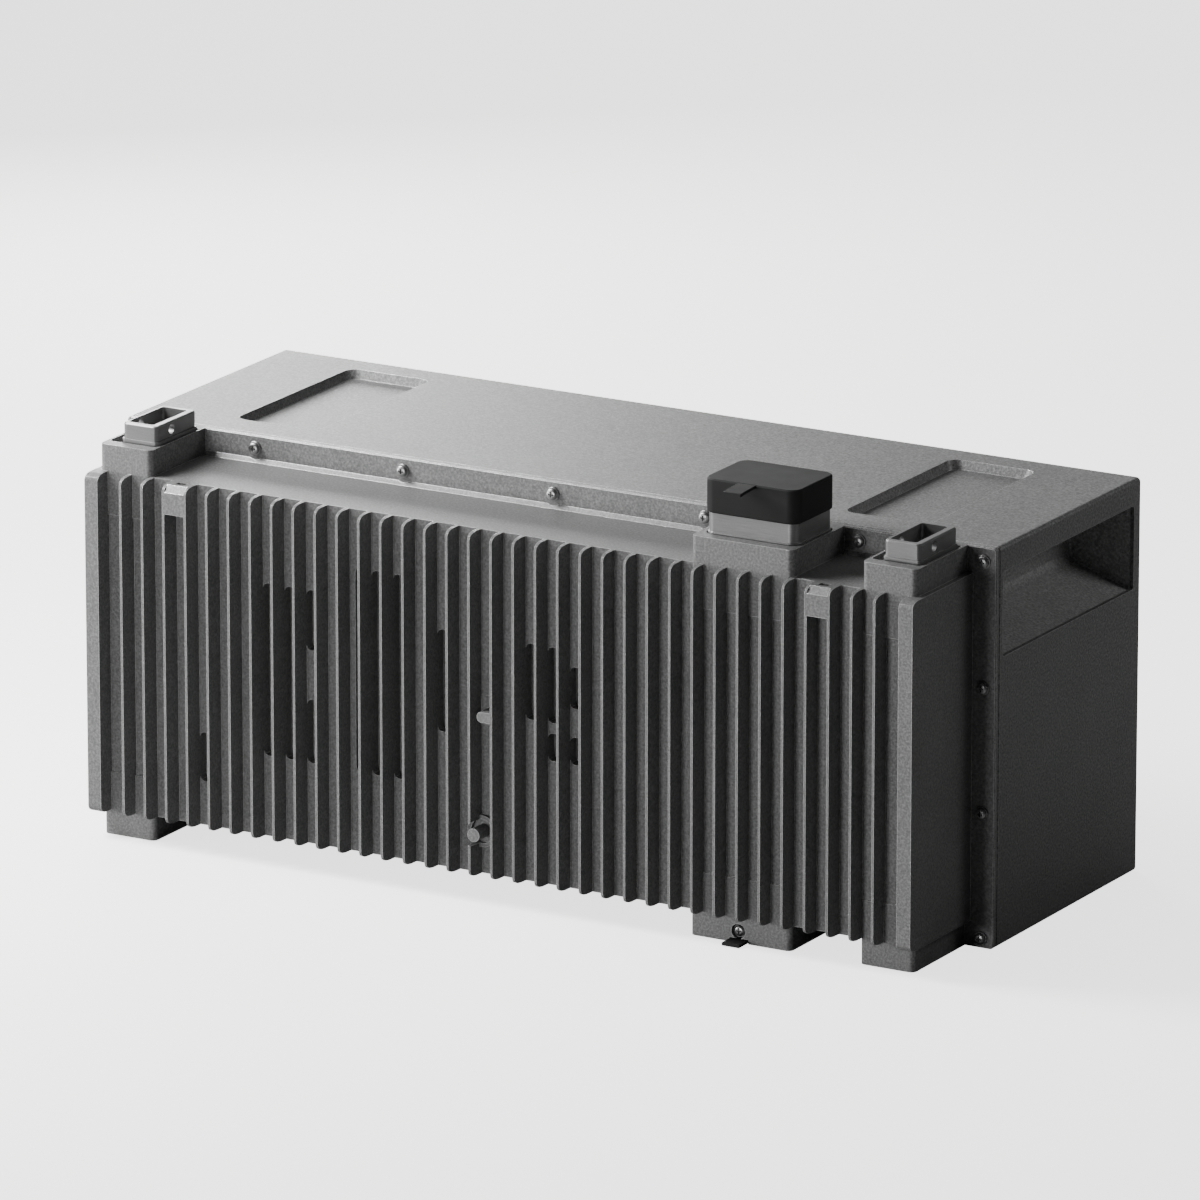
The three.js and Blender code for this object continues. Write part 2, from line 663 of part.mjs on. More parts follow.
// The drooping pull tab of a dust cap, from the cap's front face out to its tip.
function pullTab(root, top, droop) {
  const thickness = 2;
  const length = root - TAB_TIP_Y;
  const upper = [];
  const lower = [];
  for (let step = 0; step <= CURVE_STEPS; step += 1) {
    const share = step / CURVE_STEPS;
    const y = root - share * length;
    const z = top - droop * share * share;
    upper.push([y, z]);
    lower.push([y, z - thickness]);
  }
  const profile = outline([...upper, ...lower.reverse()]);
  return extruded(profile, "x", TAB_X - TAB_WIDTH / 2, TAB_X + TAB_WIDTH / 2);
}

function topDustCap() {
  const middle = [CONNECTOR_X, CONNECTOR_Y];
  const bore = ledged(COLLAR_SIZE, GAP);
  const shell = pillar(middle, CAP_SIZE, [CAP_BOTTOM_Z, CAP_TOP_Z], 8, 0.9);
  const hollow = pillar(middle, bore, [CAP_BOTTOM_Z - 1, CAP_TOP_Z - CAP_ROOF], 6.3);
  const tab = pullTab(CONNECTOR_Y - CAP_SIZE[1] / 2 + 1.6, CAP_TOP_Z - 0.2, TAB_DROOP);
  return shell.subtract(hollow).add(tab);
}

function bottomDustCap() {
  const middle = [CONNECTOR_X, CONNECTOR_Y];
  const bottom = LOWER_CAP_BOTTOM_Z;
  const plate = pillar(middle, LOWER_CAP_RIM, [bottom, bottom + 2.2], 6.5, 0.5);
  const skirt = pillar(middle, ledged(LOWER_CAP_RIM, -0.5), [bottom + 1.2, 14], 6.5);
  const hollow = pillar(middle, [50.4, 36.4], [bottom + 2.2, 15], 4);
  const tab = pullTab(CONNECTOR_Y - LOWER_CAP_RIM[1] / 2 + 1.6, bottom + 2.1, 0);
  return plate.add(skirt).subtract(hollow).add(tab);
}

function lockScrew() {
  const face = BOSS_FRONT_Y + 0.4;
  const head = cylinder("y", LOCK_SCREW, LOCK_HEAD_RADIUS, face, face + 2.5, 24);
  const shank = cylinder("y", LOCK_SCREW, 2.2, face + 2, STACK_Y - 26.5, 16);
  const socket = cylinder("y", LOCK_SCREW, 1.9, face - 1, face + 1.6, 6);
  return head.add(shank).subtract(socket);
}

// ---------------------------------------------------------------- flange bolts

function flangeBolt(x, z) {
  const seat = FLANGE_Y - GAP;
  const profile = [
    [0, 0],
    [BOLT_SHANK_RADIUS, 0],
    [BOLT_SHANK_RADIUS, RIM_BACK_Y - 0.5 - seat],
    [BOLT_HEAD_RADIUS, RIM_BACK_Y - 0.5 - seat],
    [BOLT_HEAD_RADIUS, RIM_BACK_Y - 0.5 - seat + BOLT_HEAD_HEIGHT * 0.55],
    [BOLT_HEAD_RADIUS * 0.72, RIM_BACK_Y - 0.5 - seat + BOLT_HEAD_HEIGHT],
    [0, RIM_BACK_Y - 0.5 - seat + BOLT_HEAD_HEIGHT],
  ].map(([radius, height]) => new THREE.Vector2(radius, height));
  const turned = new THREE.LatheGeometry(profile, BOLT_SIDES);
  turned.rotateX(Math.PI);
  turned.translate(x, RIM_BACK_Y - 0.5, z);
  return solidFrom(turned);
}

// ---------------------------------------------------------------- battery pack inside

function cellX(index) {
  return (index - (CELL_COUNT - 1) / 2) * CELL_PITCH;
}

function cell(index) {
  const x = cellX(index);
  const top = CELL_BOTTOM_Z + CELL_SIZE[2];
  const can = box(centred(x, CELL_SIZE[0]), centred(CELL_Y, CELL_SIZE[1]), [CELL_BOTTOM_Z, top]);
  const terminals = [-1, 1].map((side) =>
    cylinder("z", [x, CELL_Y + side * TERMINAL_Y], 8, top - 1, top + 2.4, 8),
  );
  return joined([can, ...terminals]);
}

function endPlate(side) {
  const inner = (CELL_COUNT / 2) * CELL_PITCH + 0.4;
  const span = side > 0 ? [inner, inner + 5] : [-inner - 5, -inner];
  return box(span, centred(CELL_Y, 130), [CELL_BOTTOM_Z, CELL_BOTTOM_Z + CELL_SIZE[2] - 6]);
}

function cellTray() {
  const reach = (CELL_COUNT / 2) * CELL_PITCH + 12;
  const floor = box([-reach, reach], centred(CELL_Y, 150), [COVER_WALL + GAP, CELL_BOTTOM_Z - GAP]);
  const rails = [-1, 1].map((side) => {
    const middle = CELL_Y + side * 72;
    return box([-reach, reach], centred(middle, 6), [COVER_WALL + GAP, 26]);
  });
  return joined([floor, ...rails]);
}

function clampBelt() {
  const reach = (CELL_COUNT / 2) * CELL_PITCH + 5.8;
  const outside = box([-reach - 1, reach + 1], centred(CELL_Y, 133.6), [96, 116]);
  const inside = box([-reach, reach], centred(CELL_Y, 131.6), [95, 117]);
  return outside.subtract(inside);
}

// The plate on top of the cells, with one raised link over each pair of terminals in series.
function busbarBridge() {
  const top = CELL_BOTTOM_Z + CELL_SIZE[2] + 2.4 + GAP;
  const plate = box([-268, 268], centred(CELL_Y, 112), [top, top + 1.6]);
  const links = [];
  for (let index = 0; index < CELL_COUNT - 1; index += 1) {
    const side = index % 2 === 0 ? 1 : -1;
    const middle = (cellX(index) + cellX(index + 1)) / 2;
    links.push(box(centred(middle, 54), centred(CELL_Y + side * TERMINAL_Y, 16), [top + 1, top + 4.4]));
  }
  return joined([plate, ...links]);
}

// ---------------------------------------------------------------- electronics inside

function powerBoard() {
  const board = box([-212, 87], [BOARD_Y, BOARD_Y + 1.6], [30, 229]);
  const parts = [
    box([-190, -140], [BOARD_Y + 1, BOARD_Y + 34], [150, 200]),
    box([-128, -78], [BOARD_Y + 1, BOARD_Y + 34], [150, 200]),
    box([-60, 20], [BOARD_Y + 1, BOARD_Y + 26], [60, 110]),
    ...[0, 1, 2, 3].map((index) =>
      cylinder("y", [-180 + index * 30, 90], 11, BOARD_Y + 1, BOARD_Y + 36, 16),
    ),
  ];
  return joined([board, ...parts]);
}

function bmsBoard() {
  const board = box([105, 292], [BOARD_Y, BOARD_Y + 1.6], [52, 213]);
  const parts = [
    box([120, 150], [BOARD_Y + 1, BOARD_Y + 9], [70, 100]),
    box([190, 230], [BOARD_Y + 1, BOARD_Y + 6], [120, 160]),
    box([120, 280], [BOARD_Y + 1, BOARD_Y + 10], [192, 204]),
  ];
  return joined([board, ...parts]);
}

function thermalPad() {
  const front = BASE_Y + FIN_POCKET_DEPTH + CASTING_WALL + GAP;
  return box([-184, 68], [front, BOARD_Y - GAP], [110, 168]);
}

function contactor() {
  const can = box([-292, -232], [FLANGE_Y - 40, FLANGE_Y - 4], [150, 200]);
  const terminals = [-276, -248].map((x) => cylinder("z", [x, FLANGE_Y - 22], 5, 199, 208, 12));
  return joined([can, ...terminals]);
}

function mainFuse() {
  const barrel = cylinder("z", [-262, FLANGE_Y - 22], 12, 66, 112, 16);
  const blades = box([-267, -257], [FLANGE_Y - 24, FLANGE_Y - 20], [52, 126]);
  return barrel.add(blades);
}

function cable(points, radius) {
  const path = new THREE.CatmullRomCurve3(points.map(([x, y, z]) => new THREE.Vector3(x, y, z)));
  const section = new THREE.Shape();
  section.absarc(0, 0, radius, 0, 2 * Math.PI);
  const geometry = new THREE.ExtrudeGeometry(section, {
    steps: 18,
    curveSegments: 4,
    bevelEnabled: false,
    extrudePath: path,
  });
  return solidFrom(geometry);
}

function positiveCable() {
  const y = FLANGE_Y - 22;
  return cable(
    [
      [-248, y, 208.6],
      [-248, y, 218],
      [-230, y, 231],
      [-190, y, 235],
      [0, y, 235],
      [120, y, 235],
      [158, STACK_Y + 12, 238],
      [CONNECTOR_X - 14, STACK_Y + 4, 244],
      [CONNECTOR_X - 14, STACK_Y, 253],
    ],
    4,
  );
}

function linkHarness() {
  const y = STACK_Y + 10;
  return cable(
    [
      [CONNECTOR_X + 10, STACK_Y, 254],
      [CONNECTOR_X + 10, STACK_Y + 3, 236],
      [CONNECTOR_X + 14, y, 200],
      [CONNECTOR_X + 14, y, 100],
      [CONNECTOR_X + 4, y - 6, 58],
      [CONNECTOR_X, CONNECTOR_Y, 46],
      [CONNECTOR_X, CONNECTOR_Y, 31.5],
    ],
    6,
  );
}

// ---------------------------------------------------------------- materials and scene

const MATERIALS = {
  casting: { color: 0x63666a, roughness: 0.55, metalness: 0.55 },
  sheet: { color: 0x66696d, roughness: 0.55, metalness: 0.5 },
  collar: { color: 0x85888c, roughness: 0.4, metalness: 0.7 },
  rubber: { color: 0x1a1b1d, roughness: 0.75, metalness: 0 },
  plastic: { color: 0x222326, roughness: 0.6, metalness: 0 },
  steel: { color: 0x7c7f83, roughness: 0.35, metalness: 0.9 },
  brass: { color: 0xb08d4a, roughness: 0.3, metalness: 0.9 },
  cell: { color: 0x2d5b8c, roughness: 0.45, metalness: 0.1 },
  copper: { color: 0xb4673a, roughness: 0.35, metalness: 0.9 },
  board: { color: 0x1f5136, roughness: 0.5, metalness: 0 },
  pad: { color: 0x8f9aa8, roughness: 0.9, metalness: 0 },
  cable: { color: 0xa33325, roughness: 0.6, metalness: 0 },
};

const materials = Object.fromEntries(
  Object.entries(MATERIALS).map(([name, look]) => [name, new THREE.MeshStandardMaterial(look)]),
);

const module = new THREE.Group();

function place(name, solid, material, group) {
  const mesh = new THREE.Mesh(geometryFrom(solid), materials[material]);
  mesh.name = name;
  group.add(mesh);
}

function addCasing() {
  const casing = new THREE.Group();
  place("heatsink_housing", housing(), "casting", casing);
  place("rear_cover", cover(), "sheet", casing);
  place("cover_gasket", gasket(), "rubber", casing);
  place("grip_cup_left", gripCup(-1), "sheet", casing);
  place("grip_cup_right", gripCup(1), "sheet", casing);
  place("stacking_post_left", stackingPost(-1), "collar", casing);
  place("stacking_post_right", stackingPost(1), "collar", casing);
  boltPlaces().forEach(({ name, x, z }) => place(name, flangeBolt(x, z), "steel", casing));
  module.add(casing);
}

function addConnectors() {
  const connectors = new THREE.Group();
  place("top_connector_collar", topCollar(), "collar", connectors);
  place("top_connector_insert", topInsert(), "plastic", connectors);
  place("top_connector_contacts", topContacts(), "brass", connectors);
  place("top_dust_cap", topDustCap(), "rubber", connectors);
  place("bottom_connector_socket", bottomSocket(), "plastic", connectors);
  place("bottom_dust_cap", bottomDustCap(), "rubber", connectors);
  place("connector_lock_screw", lockScrew(), "steel", connectors);
  module.add(connectors);
}

function addBattery() {
  const battery = new THREE.Group();
  for (let index = 0; index < CELL_COUNT; index += 1) {
    const number = String(index + 1).padStart(2, "0");
    place(`cell_${number}`, cell(index), "cell", battery);
  }
  place("end_plate_left", endPlate(-1), "steel", battery);
  place("end_plate_right", endPlate(1), "steel", battery);
  place("cell_tray", cellTray(), "plastic", battery);
  place("clamp_belt", clampBelt(), "steel", battery);
  place("busbar_bridge", busbarBridge(), "copper", battery);
  module.add(battery);
}

function addElectronics() {
  const electronics = new THREE.Group();
  place("power_board", powerBoard(), "board", electronics);
  place("bms_board", bmsBoard(), "board", electronics);
  place("thermal_pad", thermalPad(), "pad", electronics);
  place("contactor", contactor(), "plastic", electronics);
  place("main_fuse", mainFuse(), "pad", electronics);
  place("positive_cable", positiveCable(), "cable", electronics);
  place("link_harness", linkHarness(), "rubber", electronics);
  module.add(electronics);
}

addCasing();
addConnectors();
addBattery();
addElectronics();

export default module;
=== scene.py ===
import json
import math

import bmesh
import bpy
from mathutils import Matrix, Vector


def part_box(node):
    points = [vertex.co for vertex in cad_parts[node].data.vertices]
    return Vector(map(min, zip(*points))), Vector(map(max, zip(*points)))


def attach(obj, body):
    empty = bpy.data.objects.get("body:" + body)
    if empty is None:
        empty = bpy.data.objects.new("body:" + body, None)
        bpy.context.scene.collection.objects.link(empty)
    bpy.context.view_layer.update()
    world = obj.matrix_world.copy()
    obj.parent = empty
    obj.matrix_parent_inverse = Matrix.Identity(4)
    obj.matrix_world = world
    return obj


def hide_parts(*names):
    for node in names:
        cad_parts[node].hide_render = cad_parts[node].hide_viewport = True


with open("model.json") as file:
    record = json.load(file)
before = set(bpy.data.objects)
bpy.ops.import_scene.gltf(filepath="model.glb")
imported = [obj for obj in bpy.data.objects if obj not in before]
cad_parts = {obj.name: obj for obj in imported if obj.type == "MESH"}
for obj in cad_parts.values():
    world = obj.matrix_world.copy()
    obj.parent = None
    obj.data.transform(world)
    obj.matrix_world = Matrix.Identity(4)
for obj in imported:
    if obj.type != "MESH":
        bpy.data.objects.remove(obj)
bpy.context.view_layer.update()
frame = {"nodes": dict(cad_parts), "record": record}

MM = 0.001
MODULE = "module"
TOP_CAP = "top_cap"
BOTTOM_CAP = "bottom_cap"

# Camera
VIEW_AZIMUTH = math.radians(29.94)
VIEW_ELEVATION = math.radians(16.02)
VIEW_DISTANCE = 7.7
VIEW_TARGET = Vector((0.0128, -0.0207, 0.1788))
VIEW_REACH = 50
LENS_MM = 355.0
SENSOR_MM = 36.0

# Area lights: name, place, the point it aims at, its width and height, and its watts
WORLD_STRENGTH = 0.03
LIGHTS = [
    ("key", (-0.85, -0.35, 0.95), (-0.3, -0.05, 0.2), (0.5, 0.6), 33),
    ("back_left", (-1.3, 1.3, 0.72), (-0.2, 0, 0.25), (0.8, 0.5), 20),
    ("back_far", (-1.2, 2.6, 0.9), (0.1, 0, 0.15), (1.6, 1.0), 4),
    ("top", (-0.3, 0.2, 2.8), (0, 0, 0.15), (1.6, 1.2), 8),
    ("front_low", (-0.25, -2.6, 0.14), (-0.05, 0, 0.13), (0.6, 0.24), 22),
    ("left_low", (-1.9, -1.3, 0.3), (-0.1, -0.1, 0.15), (1.0, 0.5), 32),
    ("right_close", (0.85, 0.35, 0.6), (0.32, 0.05, 0.2), (0.3, 0.3), 1.2),
]

# Floor
FLOOR_HALF_WIDTH = 14
FLOOR_DROP = 0.2 * MM
FLOOR_DARK = 0.82
FLOOR_PALE = 0.86
FLOOR_BOUNCE = 0.28
FLOOR_GLOW = 2.2
FLOOR_ROUGHNESS = 0.9

# Node trees. The colour mix node has several sockets of the same name, so they go by position.
MIX_FIRST = 6
MIX_SECOND = 7
MIX_RESULT = 2
NOISE_LOW = 0.3
NOISE_HIGH = 0.7
# Edge mask for wear and a painted highlight: edges get a pale base colour that stands in for light
# caught on them
WEAR_AND_HIGHLIGHT_RADIUS = 0.6 * MM
WEAR_AND_HIGHLIGHT_SAMPLES = 4
WEAR_AND_HIGHLIGHT_STARTS = 0.997
WEAR_AND_HIGHLIGHT_IS_FULL = 0.9
RUBBER_SPECULAR = 0.1

# Noise scales, in waves per metre
SAND = 640
FINE_SAND = 1500
CASTING_CLOUD = 22
RUBBER_SKIN = 2600
RUBBER_CLOUD = 35
PLASTIC_SKIN = 900
PLASTIC_CLOUD = 40
METAL_STREAKS = 60
METAL_SWIRL = 700
METAL_STAIN = 90
FILM_WRINKLE = 45
FILM_DUST = 400
BOARD_TRACKS = 180
FLOOR_CLOUD = 2.5

# Meshes
MERGE_DISTANCE = 0.002 * MM
FLAT_ANGLE = math.radians(0.6)
SHARP_ANGLE = math.radians(34)
SCREW_SHARP_ANGLE = math.radians(40)
ROUNDING_SEGMENTS = 2
SHADING_WEIGHT = 80
TURNED_SIDES = 36
RECESS_FLOOR_DEPTH = 6 * MM
RECESS_FLOOR_TOLERANCE = 0.2 * MM
RECESS_WALL_LEAN = 2.6 * MM

# Screws
SCREW_HEAD_RADIUS = 3.9 * MM
SCREW_HEIGHT = 3.4 * MM
SHANK_RADIUS = 2.4 * MM
WASHER_RADIUS = 4.6 * MM
WASHER_THICKNESS = 0.9 * MM
LOCK_HEAD_RADIUS = 3.5 * MM
LOCK_HEAD_DEPTH = 2.5 * MM
LOCK_SHANK_RADIUS = 2.2 * MM
EDGE_BREAK = 0.2 * MM
HEAD_FOOT_SHARE = 0.97
HEAD_SIDE_SHARE = 0.42
DOME_FLAT_SHARE = 0.35
DOME_STEPS = 6
CROSS_REACH = 2.3 * MM
CROSS_WIDTH = 1.0 * MM
CROSS_DEPTH = 1.8 * MM
CROSS_PROUD = 0.3 * MM
CROSS_TAPER = 0.45

# CAD nodes that get a copy with rounded edges: node, body, look, slot, and how many millimetres
# its raised and its hollow corners are rounded by
REFINED = [
    ("heatsink_housing", MODULE, "casting", "casting", 0.3, 0.7),
    ("rear_cover", MODULE, "cover", "cover", 0.6, 0.6),
    ("grip_cup_left", MODULE, "cup", "cover", 0.5, 1.2),
    ("stacking_post_left", MODULE, "collar", "collar", 0.5, 0.3),
    ("grip_cup_right", MODULE, "cup", "cover", 0.5, 1.2),
    ("stacking_post_right", MODULE, "collar", "collar", 0.5, 0.3),
    ("top_connector_collar", MODULE, "collar", "collar", 0.4, 0.4),
    ("top_dust_cap", TOP_CAP, "cap_rubber", "cap_rubber", 0.5, 0.4),
    ("bottom_dust_cap", BOTTOM_CAP, "cap_rubber", "cap_rubber", 0.4, 0.4),
]


def grey(level):
    return (level, level, level, 1)


# ---------------------------------------------------------------- camera and lights


def make_camera():
    data = bpy.data.cameras.new("camera")
    data.lens = LENS_MM
    data.sensor_width = SENSOR_MM
    data.clip_end = VIEW_REACH
    camera = bpy.data.objects.new("camera", data)
    across = math.cos(VIEW_ELEVATION)
    forward = Vector((
        -math.sin(VIEW_AZIMUTH) * across,
        math.cos(VIEW_AZIMUTH) * across,
        -math.sin(VIEW_ELEVATION),
    ))
    camera.location = VIEW_TARGET - forward * VIEW_DISTANCE
    camera.rotation_mode = "QUATERNION"
    camera.rotation_quaternion = forward.to_track_quat("-Z", "Y")
    bpy.context.scene.collection.objects.link(camera)
    bpy.context.scene.camera = camera


def make_light(name, place, aim, size, power):
    data = bpy.data.lights.new(name, "AREA")
    data.shape = "RECTANGLE"
    data.size = size[0]
    data.size_y = size[1]
    data.energy = power
    light = bpy.data.objects.new(name, data)
    light.location = place
    light.rotation_mode = "QUATERNION"
    direction = Vector(aim) - Vector(place)
    light.rotation_quaternion = direction.to_track_quat("-Z", "Y")
    light.visible_camera = False
    bpy.context.scene.collection.objects.link(light)


def make_world():
    world = bpy.data.worlds.new("studio")
    world.use_nodes = True
    background = world.node_tree.nodes["Background"]
    background.inputs["Color"].default_value = grey(1)
    background.inputs["Strength"].default_value = WORLD_STRENGTH
    bpy.context.scene.world = world


def make_studio():
    make_world()
    for light in LIGHTS:
        make_light(*light)


# ---------------------------------------------------------------- node tree helper


class Recipe:
    """A material's node tree, built one node at a time."""

    def __init__(self, name):
        self.material = bpy.data.materials.new(name)
        self.material.use_nodes = True
        self.tree = self.material.node_tree
        self.shader = self.tree.nodes["Principled BSDF"]
        self.position = self.add("ShaderNodeTexCoord").outputs["Object"]

    def add(self, kind, settings=None, **inputs):
        node = self.tree.nodes.new(kind)
        for key, value in (settings or {}).items():
            setattr(node, key, value)
        for key, value in inputs.items():
            self.feed(node.inputs[key.replace("_", " ")], value)
        return node

    def feed(self, socket, value):
        if isinstance(value, bpy.types.NodeSocket):
            self.tree.links.new(value, socket)
        else:
            socket.default_value = value

    def noise(self, scale, detail=2.0, roughness=0.5, stretch=None):
        vector = self.position
        if stretch:
            mapping = self.add("ShaderNodeMapping", Vector=vector, Scale=stretch)
            vector = mapping.outputs["Vector"]
        node = self.add("ShaderNodeTexNoise", Vector=vector, Scale=scale, Detail=detail)
        self.feed(node.inputs["Roughness"], roughness)
        return node.outputs["Fac"]

    def ramp(self, factor, low, high, low_value=0.0, high_value=1.0):
        node = self.add("ShaderNodeMapRange", Value=factor, From_Min=low, From_Max=high)
        self.feed(node.inputs["To Min"], low_value)
        self.feed(node.inputs["To Max"], high_value)
        return node.outputs["Result"]

    def spread(self, noise, low_value=0.0, high_value=1.0):
        """Noise seldom leaves its middle stretch, so only that stretch is spread out."""
        return self.ramp(noise, NOISE_LOW, NOISE_HIGH, low_value, high_value)

    def math(self, operation, first, second):
        node = self.add("ShaderNodeMath", {"operation": operation})
        self.feed(node.inputs[0], first)
        self.feed(node.inputs[1], second)
        return node.outputs["Value"]

    def mix(self, factor, first, second):
        node = self.add("ShaderNodeMix", {"data_type": "RGBA"}, Factor=factor)
        self.feed(node.inputs[MIX_FIRST], first)
        self.feed(node.inputs[MIX_SECOND], second)
        return node.outputs[MIX_RESULT]

    def bump(self, height, strength, distance, under=None):
        node = self.add("ShaderNodeBump", Height=height, Strength=strength, Distance=distance)
        if under is not None:
            self.feed(node.inputs["Normal"], under)
        return node.outputs["Normal"]

    def edge_mask(self):
        """1 on edges, where wear and a painted highlight go, and 0 on flats, from how far a rounded
        normal turns from the real one.
        """
        rounded = self.add("ShaderNodeBevel", {"samples": WEAR_AND_HIGHLIGHT_SAMPLES}, Radius=WEAR_AND_HIGHLIGHT_RADIUS)
        plain = self.add("ShaderNodeNewGeometry")
        dot = self.add("ShaderNodeVectorMath", {"operation": "DOT_PRODUCT"})
        self.feed(dot.inputs[0], rounded.outputs["Normal"])
        self.feed(dot.inputs[1], plain.outputs["Normal"])
        return self.ramp(dot.outputs["Value"], WEAR_AND_HIGHLIGHT_STARTS, WEAR_AND_HIGHLIGHT_IS_FULL)

    def finish(self, colour, roughness, metallic=0.0, normal=None):
        self.feed(self.shader.inputs["Base Color"], colour)
        self.feed(self.shader.inputs["Roughness"], roughness)
        self.feed(self.shader.inputs["Metallic"], metallic)
        if normal is not None:
            self.feed(self.shader.inputs["Normal"], normal)
        return self.material


# ---------------------------------------------------------------- materials


def coated_metal(name, level, grain, rough=0.5, metallic=0.25):
    """Cast or sheet aluminium under a sand-textured powder coat, rubbed pale along its edges, where
    the pale colour is also a painted highlight.
    """
    recipe = Recipe(name)
    sand = recipe.noise(SAND, 3, 0.65)
    fine = recipe.noise(FINE_SAND, 2, 0.6)
    cloud = recipe.noise(CASTING_CLOUD, 3, 0.55)
    tone = recipe.mix(recipe.spread(cloud), grey(level * 0.94), grey(level * 1.06))
    fleck = recipe.ramp(sand, 0.5, 0.68, 0.0, 0.55 * grain)
    speckled = recipe.mix(fleck, tone, grey(level * 2.0))
    pit = recipe.ramp(sand, 0.5, 0.34, 0.0, 0.6 * grain)
    pitted = recipe.mix(pit, speckled, grey(level * 0.4))
    patchy = recipe.ramp(fine, 0.35, 0.6, 0.5, 1.0)
    # Wear and painted highlight: the edge mask, broken up by fine noise, paints the edges pale in
    # the base colour
    worn_and_highlight = recipe.math("MULTIPLY", recipe.edge_mask(), patchy)
    rubbed_and_highlit = recipe.mix(worn_and_highlight, pitted, grey(min(0.85, level * 5.0)))
    shine = recipe.ramp(worn_and_highlight, 0, 1, rough, rough * 0.55)
    bare = recipe.ramp(worn_and_highlight, 0, 1, metallic, 0.9)
    coarse = recipe.bump(sand, 0.6 * grain, 0.35 * MM)
    normal = recipe.bump(fine, 0.35 * grain, 0.12 * MM, coarse)
    return recipe.finish(rubbed_and_highlit, shine, bare, normal)


def machined_metal(name, level, rough=0.38):
    """Blasted or brushed aluminium with faint streaks."""
    recipe = Recipe(name)
    streaks = recipe.noise(METAL_STREAKS, 4, 0.6, stretch=(1, 1, 30))
    specks = recipe.noise(FINE_SAND, 2, 0.5)
    tone = recipe.mix(recipe.spread(streaks), grey(level * 0.88), grey(level * 1.1))
    speckled = recipe.mix(recipe.ramp(specks, 0.5, 0.75, 0, 0.25), tone, grey(level * 1.6))
    shine = recipe.spread(streaks, rough - 0.06, rough + 0.08)
    normal = recipe.bump(specks, 0.25, 0.08 * MM)
    return recipe.finish(speckled, shine, 0.6, normal)


def soft_rubber(name, level, rough=0.55):
    recipe = Recipe(name)
    skin = recipe.noise(RUBBER_SKIN, 2, 0.5)
    cloud = recipe.noise(RUBBER_CLOUD, 3, 0.5)
    tone = recipe.mix(recipe.spread(cloud), grey(level * 0.9), grey(level * 1.15))
    shine = recipe.spread(cloud, rough - 0.05, rough + 0.06)
    recipe.shader.inputs["Specular IOR Level"].default_value = RUBBER_SPECULAR
    return recipe.finish(tone, shine, 0.0, recipe.bump(skin, 0.18, 0.05 * MM))


def moulded_plastic(name, level, rough=0.45):
    recipe = Recipe(name)
    skin = recipe.noise(PLASTIC_SKIN, 3, 0.6)
    cloud = recipe.noise(PLASTIC_CLOUD, 2, 0.5)
    tone = recipe.mix(recipe.spread(cloud), grey(level * 0.85), grey(level * 1.2))
    shine = recipe.spread(skin, rough - 0.05, rough + 0.08)
    return recipe.finish(tone, shine, 0.0, recipe.bump(skin, 0.2, 0.08 * MM))


def plated_metal(name, colour, rough=0.3):
    recipe = Recipe(name)
    swirl = recipe.noise(METAL_SWIRL, 3, 0.6)
    stain = recipe.noise(METAL_STAIN, 3, 0.5)
    dark = tuple(channel * 0.7 for channel in colour[:3]) + (1,)
    tone = recipe.mix(recipe.ramp(stain, 0.35, 0.7), colour, dark)
    shine = recipe.spread(swirl, rough - 0.06, rough + 0.1)
    return recipe.finish(tone, shine, 1.0, recipe.bump(swirl, 0.12, 0.05 * MM))


def circuit_board(name):
    """Green lacquer with raised, paler tracks."""
    recipe = Recipe(name)
    layout = {"feature": "DISTANCE_TO_EDGE", "distance": "MANHATTAN"}
    cells = recipe.add("ShaderNodeTexVoronoi", layout, Vector=recipe.position, Scale=BOARD_TRACKS)
    tracks = recipe.ramp(cells.outputs["Distance"], 0.03, 0.06, 1.0, 0.0)
    tone = recipe.mix(tracks, (0.01, 0.06, 0.03, 1), (0.03, 0.14, 0.06, 1))
    shine = recipe.ramp(tracks, 0, 1, 0.35, 0.5)
    return recipe.finish(tone, shine, 0.0, recipe.bump(tracks, 0.2, 0.05 * MM))


def wrapped(name, colour, rough=0.35):
    """Thin plastic film over a can, with soft wrinkles."""
    recipe = Recipe(name)
    wrinkle = recipe.noise(FILM_WRINKLE, 3, 0.6, stretch=(1, 1, 0.2))
    dust = recipe.noise(FILM_DUST, 2, 0.5)
    pale = tuple(min(1, channel * 1.25) for channel in colour[:3]) + (1,)
    tone = recipe.mix(recipe.ramp(dust, 0.35, 0.75), colour, pale)
    shine = recipe.spread(wrinkle, rough - 0.05, rough + 0.1)
    return recipe.finish(tone, shine, 0.0, recipe.bump(wrinkle, 0.3, 0.4 * MM))


def pale_floor(name):
    """Near-white where it is seen, and a duller white in what it throws back onto the object."""
    recipe = Recipe(name)
    cloud = recipe.noise(FLOOR_CLOUD, 3, 0.5)
    seen = recipe.add("ShaderNodeLightPath").outputs["Is Camera Ray"]
    pale = recipe.mix(recipe.spread(cloud), grey(FLOOR_DARK), grey(FLOOR_PALE))
    tone = recipe.mix(seen, grey(FLOOR_BOUNCE), pale)
    glow = recipe.math("MULTIPLY", seen, FLOOR_GLOW)
    recipe.feed(recipe.shader.inputs["Emission Color"], grey(1))
    recipe.feed(recipe.shader.inputs["Emission Strength"], glow)
    return recipe.finish(tone, FLOOR_ROUGHNESS)


